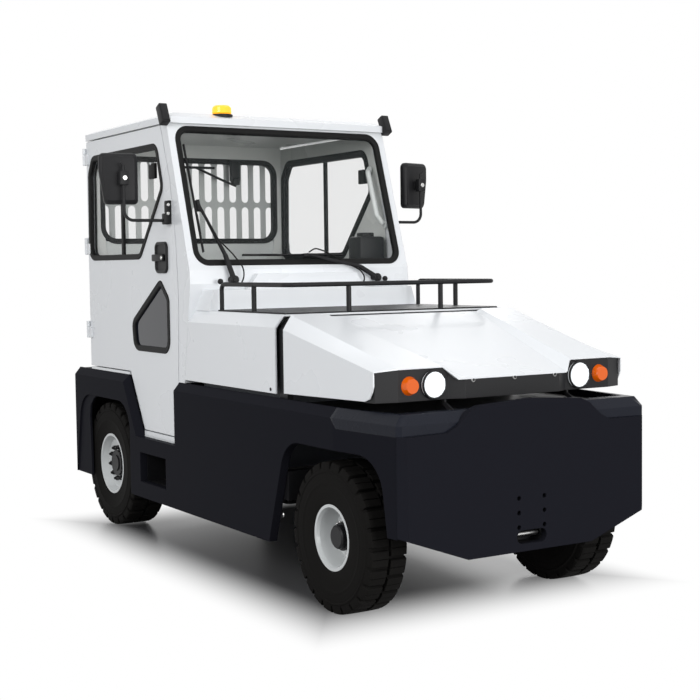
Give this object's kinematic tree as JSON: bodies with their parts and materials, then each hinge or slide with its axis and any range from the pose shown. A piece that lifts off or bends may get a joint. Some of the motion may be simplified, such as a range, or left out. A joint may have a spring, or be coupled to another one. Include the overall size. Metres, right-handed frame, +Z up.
{
  "type": "airport baggage tug",
  "caption": "Airport baggage tug with an enclosed cab, sloping tilting bonnet with a luggage rail, dark plate frame and steered front wheels.",
  "frame": {"origin": "on the floor, at the centre of the tug's box", "axes": "+Z up, -Y towards the nose, +X towards the tug's left side"},
  "size_m": [1.8552, 3.26, 2.1709],
  "materials": {
    "white_paint": "gloss",
    "dark_paint": "satin",
    "dark_gloss": "gloss",
    "black_paint": "satin",
    "grey_paint": "satin",
    "rim_paint": "satin",
    "battery_paint": "satin",
    "black_plastic": "matte",
    "clear_glass": "polished",
    "lamp_lens": "polished",
    "amber_lens": "gloss",
    "bright_steel": "brushed",
    "seat_cover": "matte",
    "axle_iron": "matte",
    "tyre": "matte"
  },
  "bodies": {
    "tug_body": {"side_plate_left": "dark_paint", "side_plate_right": "dark_paint", "bumper_plate": "dark_paint", "chassis": "black_paint", "nose_ballast": "black_paint", "door_sills": "white_paint", "front_deck": "black_paint", "nose_cap": "dark_gloss", "tail_plate": "dark_paint", "rear_coupling": "black_paint", "front_tow_pin": "bright_steel", "foot_steps": "black_paint", "battery": "battery_paint", "side_covers": "white_paint", "hood_band": "black_paint", "guard_rail": "black_paint", "cab_front": "white_paint", "windscreen": "clear_glass", "cowl": "white_paint", "cab_rear": "white_paint", "rear_window": "clear_glass", "rear_guard": "grey_paint", "roof": "white_paint", "cab_floor": "black_paint", "seat_bases": "black_paint", "seats": "seat_cover", "dashboard": "black_plastic", "roof_lamps": "black_plastic", "beacon": "amber_lens", "wiper_pivots": "black_plastic", "front_axle": "axle_iron", "rear_axle": "axle_iron"},
    "hood_assembly": {"hood": "white_paint", "lamp_panel": "black_plastic", "headlamps": "lamp_lens", "indicators": "amber_lens"},
    "steering_wheel_assembly": {"steering_wheel": "black_plastic"},
    "door_assembly_left": {"door_left": "white_paint", "door_windows_left": "clear_glass", "mirror_and_latch_left": "black_plastic"},
    "knuckle_assembly_left": {"knuckle_left": "axle_iron"},
    "front_wheel_left": {"front_tyre_left": "tyre", "front_rim_left": "rim_paint", "front_hub_left": "black_paint"},
    "rear_wheel_left": {"rear_tyre_left": "tyre", "rear_rim_left": "rim_paint", "rear_hub_left": "black_paint"},
    "door_assembly_right": {"door_right": "white_paint", "door_windows_right": "clear_glass", "mirror_and_latch_right": "black_plastic"},
    "knuckle_assembly_right": {"knuckle_right": "axle_iron"},
    "front_wheel_right": {"front_tyre_right": "tyre", "front_rim_right": "rim_paint", "front_hub_right": "black_paint"},
    "rear_wheel_right": {"rear_tyre_right": "tyre", "rear_rim_right": "rim_paint", "rear_hub_right": "black_paint"}
  },
  "joints": [
    {"name": "hood_tilt", "type": "hinge", "parent": "tug_body", "child": "hood_assembly", "pos_m": [0, -1.53, 0.807], "axis": [1, 0, 0], "range_deg": [0, 55]},
    {"name": "door_left_swing", "type": "hinge", "parent": "tug_body", "child": "door_assembly_left", "pos_m": [0.618, 1.396, 1.417], "axis": [0, 0, 1], "range_deg": [0, 80]},
    {"name": "steer_left", "type": "hinge", "parent": "tug_body", "child": "knuckle_assembly_left", "pos_m": [0.405, -1.143, 0.3], "axis": [0, 0, 1], "range_deg": [-30, 30]},
    {"name": "front_wheel_left_spin", "type": "hinge", "parent": "knuckle_assembly_left", "child": "front_wheel_left", "pos_m": [0.526, -1.143, 0.3], "axis": [1, 0, 0], "continuous": true},
    {"name": "rear_wheel_left_spin", "type": "hinge", "parent": "tug_body", "child": "rear_wheel_left", "pos_m": [0.517, 1.132, 0.326], "axis": [1, 0, 0], "continuous": true},
    {"name": "door_right_swing", "type": "hinge", "parent": "tug_body", "child": "door_assembly_right", "pos_m": [-0.618, 1.396, 1.417], "axis": [0, 0, -1], "range_deg": [0, 80]},
    {"name": "steer_right", "type": "hinge", "parent": "tug_body", "child": "knuckle_assembly_right", "pos_m": [-0.405, -1.143, 0.3], "axis": [0, 0, 1], "range_deg": [-30, 30]},
    {"name": "front_wheel_right_spin", "type": "hinge", "parent": "knuckle_assembly_right", "child": "front_wheel_right", "pos_m": [-0.526, -1.143, 0.3], "axis": [1, 0, 0], "continuous": true},
    {"name": "rear_wheel_right_spin", "type": "hinge", "parent": "tug_body", "child": "rear_wheel_right", "pos_m": [-0.517, 1.132, 0.326], "axis": [1, 0, 0], "continuous": true},
    {"name": "steering_wheel_turn", "type": "hinge", "parent": "tug_body", "child": "steering_wheel_assembly", "pos_m": [0.3, 0.51, 1.242], "axis": [0, 0.5, 0.866], "range_deg": [-360, 360]}
  ],
  "couplings": [
    {"joint": "steer_right", "follows": "steer_left", "ratio": 1},
    {"joint": "steering_wheel_turn", "follows": "steer_left", "ratio": 12}
  ]
}
